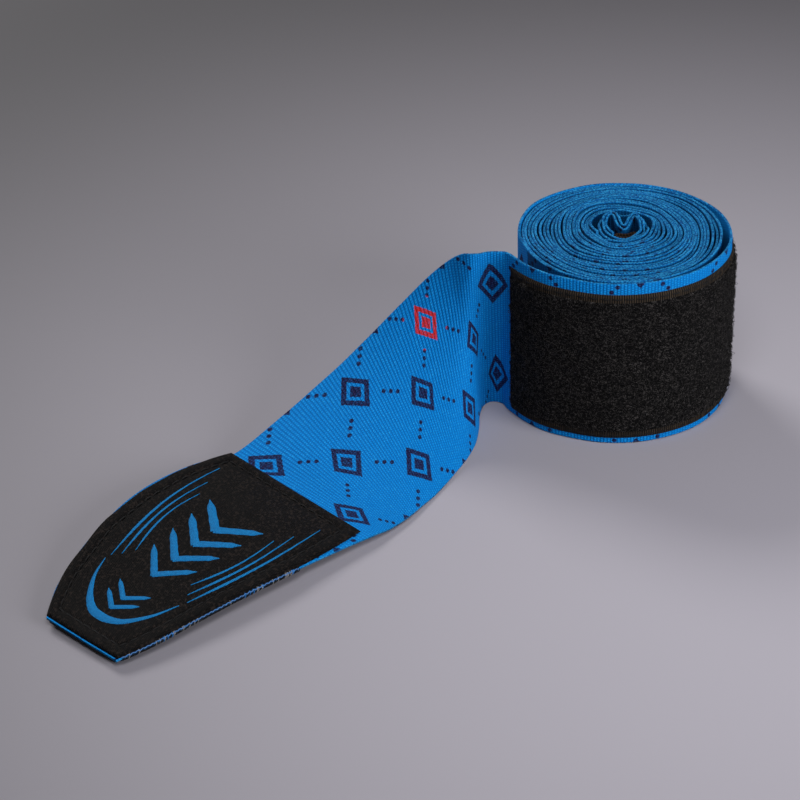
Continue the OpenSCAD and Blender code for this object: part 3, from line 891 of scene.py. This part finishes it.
# -------- the closing tab
def label_edges(u):
    """The label's near and far edges, which leave a little of the webbing bare."""
    e = tab_edges(u)
    near = e[:, 0] + 0.15 + 3.1 * np.clip(1 - u / 26, 0, 1) ** 2
    bare = np.interp(u, [0, 8, 16, 34, 44, 77], [0.3, 0.5, 0.9, 0.9, 0.15, 0.1])
    return near, e[:, 1] - bare + 0.12 * np.sin(u / 2.3)


def label_height(u, y):
    """The label's thickness, with rounded folds, a hem and the groove its seam pulls in."""
    u, y = np.broadcast_arrays(np.asarray(u, float), y)
    near, far = (e.reshape(u.shape) for e in label_edges(u.ravel()))
    edge = np.minimum(np.minimum(u - LABEL_U0, LABEL_U1 - u), np.minimum(y - near, far - y) * EDGE_SLANT)
    edge = np.maximum(edge, 0)
    rounded = np.sqrt(1 - (1 - np.clip(edge / 0.5, 0, 1)) ** 2)
    hem = 0.26 * smoothstep(edge / 0.8) * (1 - smoothstep((edge - SEAM_IN + 0.6) / 1.2))
    groove = 0.40 * np.exp(-(((edge - SEAM_IN) / 0.6) ** 2))
    pucker = 0.05 * np.sin(TAU * (u + y) / 3.4) * np.exp(-(((edge - SEAM_IN) / 1.6) ** 2))
    swell = 0.10 * smoothstep((edge - SEAM_IN) / 7.0)
    return LABEL_THICK * (0.25 + 0.75 * rounded) + hem - groove + pucker + swell


def tab_grid(u, near, far, w):
    """Places over the tab, from one line across it to the next."""
    return np.repeat(u[:, None], len(w), axis=1), near[:, None] + (far - near)[:, None] * w


def make_label():
    step = 0.4
    u = np.linspace(LABEL_U0, LABEL_U1, int((LABEL_U1 - LABEL_U0) / step))
    near, far = label_edges(u)
    w = np.linspace(0, 1, 124)
    w -= 0.012 * np.sin(TAU * w)  # a little closer together by the folds
    uu, yy = tab_grid(u, near, far, w)
    top = on_tab(uu, yy, LABEL_LEVEL + label_height(uu, yy))
    back = on_tab(uu, yy, LABEL_LEVEL)
    return slab_piece("woven_label_cloth", top, back, uu, yy, label_material())


label = make_label()

LABEL_MID = 32.0  # across the tab


def artwork_strokes():
    """Centre lines with widths, as (u, y, width) rows: plain bands woven into the label."""
    strokes = []

    def stroke(start, end, width, bend=0.0, shape="leaf", count=26):
        t = np.linspace(0, 1, count)
        u = start[0] + (end[0] - start[0]) * t
        y = start[1] + (end[1] - start[1]) * t + bend * np.sin(np.pi * t)
        if shape == "leaf":
            thick = width * np.clip(t, 0.03, 1) ** 0.6 * np.clip((1 - t) / 0.25, 0, 1) ** 0.8
        else:
            thick = width * np.clip(t / 0.2, 0.12, 1) * (0.82 + 0.18 * t)
        strokes.append((u, LABEL_MID + y, np.maximum(thick, 0.12)))

    for side in (-1, 1):
        for k, (back, tip) in enumerate(((9.5, 52.5), (16.5, 50.5), (21.5, 47.5))):
            off = (18.2, 15.6, 13.4)[k]
            stroke((back, side * off), (tip, side * (13.8 - 1.9 * k)), 0.95 - 0.12 * k, side * 1.7)
        for k in range(2):
            stroke((57.0 + 3.9 * k, side * 5.6), (61.4 + 3.9 * k, side * -0.25), 1.5, 0.0, "arm", 14)
        for k in range(4):
            back, off = 21.5 + 7.2 * k, 9.6 - 0.6 * k
            stroke((back, side * off), (back + 7.8, side * -0.35), 2.6 - 0.2 * k, 0.0, "arm", 18)
    knots = [
        (54.5, -13.0), (61.0, -10.6), (66.6, -6.6), (68.6, -2.8), (68.9, 0.4), (68.3, 3.6), (65.4, 7.6),
        (60.0, 11.8), (54.0, 14.2),
    ]
    bracket = spline(knots, 8)
    t = np.linspace(0, 1, len(bracket))
    strokes.append((bracket[:, 0], LABEL_MID + bracket[:, 1], 0.15 + 2.5 * np.sin(np.pi * t) ** 1.3))
    return strokes


def make_artwork():
    """Each band stands a thread's thickness proud of the label and follows its surface."""
    points, faces, cloth, start = [], [], [], 0
    across = np.array([-1.0, -0.82, 0.0, 0.82, 1.0])
    rise = np.array([-0.05, 0.11, 0.14, 0.11, -0.05])
    for n, (u, y, width) in enumerate(artwork_strokes()):
        way = unit(np.stack([np.gradient(u), np.gradient(y)], axis=1))
        side = left_of(way)
        jag = 1 + 0.05 * np.sin(along(np.stack([u, y], axis=1)) * TAU / 0.9 + n)
        half = (width / 2 * jag)[:, None] * across
        uu, yy = u[:, None] + side[:, :1] * half, y[:, None] + side[:, 1:] * half
        level = LABEL_LEVEL + label_height(uu, yy)
        top = on_tab(uu, yy, level + rise)
        under = on_tab(uu, yy, level - 0.08)[:, -2:0:-1]
        ring = np.concatenate([top, under], axis=1)
        sides = ring.shape[1]
        points.append(ring.reshape(-1, 3))
        faces += [np.asarray(f) + start for f in ring_faces(len(u), sides)]
        flat_u = np.concatenate([uu, uu[:, -2:0:-1]], axis=1)
        flat_y = np.concatenate([yy, yy[:, -2:0:-1]], axis=1)
        cloth.append(np.stack([flat_u, flat_y, np.ones_like(flat_u)], axis=-1).reshape(-1, 3))
        start += ring.shape[0] * sides
    points, cloth = np.concatenate(points), np.concatenate(cloth)
    return mesh_piece("label_woven_bands", points, faces, cloth, artwork_material())


artwork = make_artwork()


def label_seam():
    """One row of stitches all round the label, a few millimetres in."""
    u0, u1 = LABEL_U0 + SEAM_IN, LABEL_U1 - SEAM_IN
    u = np.linspace(u0, u1, 200)
    near, far = label_edges(u)
    inset = SEAM_IN / EDGE_SLANT
    loop = np.concatenate([
        np.stack([u, near + inset], axis=1),
        np.stack([np.full(60, u1), np.linspace(near[-1] + inset, far[-1] - inset, 60)], axis=1)[1:-1],
        np.stack([u, far - inset], axis=1)[::-1],
        np.stack([np.full(60, u0), np.linspace(far[0] - inset, near[0] + inset, 60)], axis=1)[1:-1],
    ])
    path = on_tab(loop[:, 0], loop[:, 1], LABEL_LEVEL + label_height(loop[:, 0], loop[:, 1]) + 0.05)
    return machine_stitches(path, lambda line: np.array([0.0, 0.0, 1.0]), 2.5, 3.2, 0.2, 0.4)


label_stitches = thread_piece("label_seam", label_seam(), 0.2, 6, dark_thread)


def make_hook_tape():
    """The woven backing of the hooks, under the webbing."""
    u = np.linspace(6.0, TAB_LENGTH - 0.1, 120)
    e = tab_edges(u)
    uu, yy = tab_grid(u, e[:, 0] + 1.0, e[:, 1] - 1.0, np.linspace(0, 1, 50))
    wave = 0.03 * np.sin(TAU * uu / 1.1) * np.sin(TAU * yy / 1.3)
    top = on_tab(uu, yy, HOOK + BACKING + 0.03)
    under = on_tab(uu, yy, HOOK + wave)
    return slab_piece("hook_tape_backing", top, under, uu, yy, tape_weave)


hook_tape = make_hook_tape()


def make_hooks():
    """Rows of small moulded hooks under the tab, each bent over at its end."""
    lines = []
    share = np.linspace(0, 1, 6)
    for row, u in enumerate(np.arange(7.6, TAB_LENGTH - 1.2, 1.55)):
        near, far, _ = tab_edges(np.array([u]))[0]
        lean = 1 if row % 2 else -1
        for y in np.arange(near + 2.2 + 0.4 * (row % 2), far - 2.0, 1.5):
            bend = np.pi * 1.15 * share
            out = 0.34 * (1 - np.cos(bend))
            drop = 0.26 + 0.34 * np.sin(bend) + 0.16 * (1 - share)
            drop = np.where(share == 0, 0.0, drop)
            x = u + lean * out * 0.9 - lean * 0.3
            lines.append(on_tab(x, y, HOOK - drop))
    return lines


hook_plastic = yarn_material("hook_plastic", (0.006, 0.006, 0.0065), (0.02, 0.02, 0.022), 0.42)
hooks = thread_piece("hook_rows", make_hooks(), 0.11, 5, hook_plastic)


def make_overlock():
    """Thread wrapped over the tab's cut near edge, dark, light and blue by turns."""
    lines, tags = [], []
    local = np.random.default_rng(41)
    u = OVERLOCK_START
    while u < TAB_LENGTH - 1.4:
        near = tab_edges(np.array([u]))[0][0]
        slant = local.uniform(0.4, 0.8)
        reach = local.uniform(0.66, 0.84)
        t = np.linspace(0, 1, 8)
        y = near + 0.3 - reach * np.sin(np.pi * t)
        z = WEB_LEVEL + 0.43 + 0.55 * np.cos(np.pi * t)
        lines.append(on_tab(u + slant * (t - 0.5), y, z))
        tags.append(local.choice([0.0, 0.5, 1.0], p=[0.74, 0.08, 0.18]))
        u += local.uniform(0.30, 0.44)
    chain_u = np.arange(OVERLOCK_START, TAB_LENGTH - 1.2, 0.25)
    e = tab_edges(chain_u)
    for height, out, tag in ((WEB_LEVEL + 0.98, -0.32, 0.73), (WEB_LEVEL + 0.2, -0.2, 0.0)):
        twist = 0.12 * np.sin(TAU * chain_u / 1.3)
        lines.append(on_tab(chain_u, e[:, 0] + out + twist, height + 0.12 * np.cos(TAU * chain_u / 1.3)))
        tags.append(tag)
    return lines, tags


lock_lines, lock_tags = make_overlock()
overlock = thread_piece("overlock_threads", lock_lines, 0.11, 5, overlock_material(), lock_tags)


# -------- thumb loop in the core
def make_thumb_loop():
    """A brown tape folded flat, standing against the front wall of the core's opening."""
    knots = [
        (-1.7, -0.7), (0.1, -1.6), (1.8, -1.2), (3.1, 0.2), (3.3, 1.4), (2.4, 1.3), (1.1, 0.8), (-0.2, 1.0),
        (-1.5, 1.2), (-2.2, 0.3),
    ]
    pq = spline([*knots, knots[0]], 20)
    line = pq[:, :1] * RIGHT + (pq[:, 1:] + CORE_BACK) * AWAY
    s = along(line)
    where = np.arange(0, s[-1], 0.25)
    line = at(where, s, line)
    top = THUMB_TOP + 0.25 * np.sin(where / 2.2)
    low = top - THUMB_WIDTH
    return upright_strip("thumb_loop_tape", line, where, low, top, 0.32, thumb_material(), [0.8, 0.5])


thumb_loop = make_thumb_loop()


def thumb_tacks():
    """Four short rows of thread across the thumb loop's tape."""
    lines = []
    for k in range(4):
        z = 40.5 + 2.1 * k
        t = np.linspace(0, 1, 7)
        p, q = -0.9 + 2.0 * t, 1.52 - 0.3 * t
        xy = p[:, None] * RIGHT + q[:, None] * AWAY
        lines.append(np.column_stack([xy, np.full(7, z)]))
    return lines


tacks = thread_piece("thumb_loop_tacks", thumb_tacks(), 0.17, 6, dark_thread)

# -------- floor
corners = np.array([(-1, -1, 0), (1, -1, 0), (1, 1, 0), (-1, 1, 0)]) * 2000.0
floor = mesh_piece("floor", corners, [[0, 1, 2, 3]], corners * MM, floor_material())
floor.location = (0, 0, -0.0002)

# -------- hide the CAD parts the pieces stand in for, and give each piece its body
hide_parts("webbing_coil")
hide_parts("webbing_outer_turn", "webbing_tail")
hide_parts("webbing_tab")
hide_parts("webbing_core_fold")
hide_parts("loop_tape")
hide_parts("loop_pile")
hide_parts("loop_tape_stitching")
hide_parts("woven_label")
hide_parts("label_artwork")
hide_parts("label_stitching")
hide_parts("hook_tape")
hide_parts("hook_field")
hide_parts("tab_overlock")
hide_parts("thumb_loop")
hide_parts("thumb_loop_stitching")
for piece in (coil, inner_fold, loop_tape, pile, fibres, tape_seam, thumb_loop, tacks):
    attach(piece, "roll")
for piece in (label, artwork, label_stitches, hook_tape, hooks, overlock):
    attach(piece, "tab")
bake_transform(turn_and_tail)
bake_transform(tail_and_tab)
